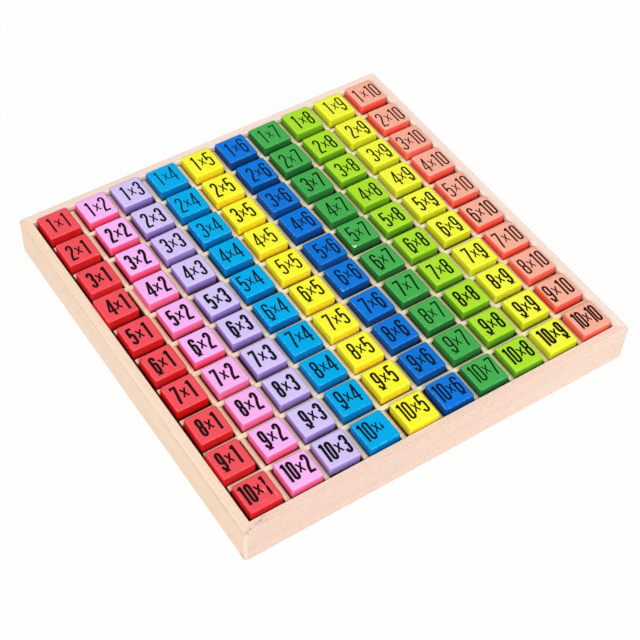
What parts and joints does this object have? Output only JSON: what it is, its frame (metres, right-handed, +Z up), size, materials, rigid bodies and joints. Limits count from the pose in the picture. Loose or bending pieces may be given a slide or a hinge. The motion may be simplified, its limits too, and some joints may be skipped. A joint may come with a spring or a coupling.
{
  "type": "multiplication table puzzle",
  "caption": "Square wooden tray with an egg-crate lattice of slotted strips, its cells filled with loose painted number blocks, one colour to a column.",
  "frame": {"origin": "middle of the square at the bottom of the rails", "axes": "+Z up, +X along a row from the first column to the tenth, +Y from the tenth row to the first"},
  "size_m": [0.226, 0.226, 0.025],
  "materials": {
    "rail_wood": "pale fine-grained wood, sanded, bare or thinly waxed",
    "strip_wood": "pale thin wood with light and darker layers, bare",
    "board_wood": "thin plywood, bare",
    "red_paint": "wood under smooth satin paint",
    "pink_paint": "wood under smooth satin paint",
    "lavender_paint": "wood under smooth satin paint",
    "sky_blue_paint": "wood under smooth satin paint",
    "yellow_paint": "wood under smooth satin paint",
    "royal_blue_paint": "wood under smooth satin paint",
    "green_paint": "wood under smooth satin paint",
    "lime_paint": "wood under smooth satin paint",
    "lemon_paint": "wood under smooth satin paint",
    "salmon_paint": "wood under smooth satin paint",
    "ink": "thin printed ink"
  },
  "bodies": {
    "root": {"base_board": "board_wood", "rail_front": "rail_wood", "rail_right": "rail_wood", "rail_back": "rail_wood", "rail_left": "rail_wood", "row_strip_1": "strip_wood", "row_strip_2": "strip_wood", "row_strip_3": "strip_wood", "row_strip_4": "strip_wood", "row_strip_5": "strip_wood", "row_strip_6": "strip_wood", "row_strip_7": "strip_wood", "row_strip_8": "strip_wood", "row_strip_9": "strip_wood", "column_strip_1": "strip_wood", "column_strip_2": "strip_wood", "column_strip_3": "strip_wood", "column_strip_4": "strip_wood", "column_strip_5": "strip_wood", "column_strip_6": "strip_wood", "column_strip_7": "strip_wood", "column_strip_8": "strip_wood", "column_strip_9": "strip_wood", "blocks_1": "red_paint", "blocks_2": "pink_paint", "blocks_3": "lavender_paint", "blocks_4": "sky_blue_paint", "blocks_5": "yellow_paint", "blocks_6": "royal_blue_paint", "blocks_7": "green_paint", "blocks_8": "lime_paint", "blocks_9": "lemon_paint", "blocks_10": "salmon_paint"}
  },
  "joints": []
}
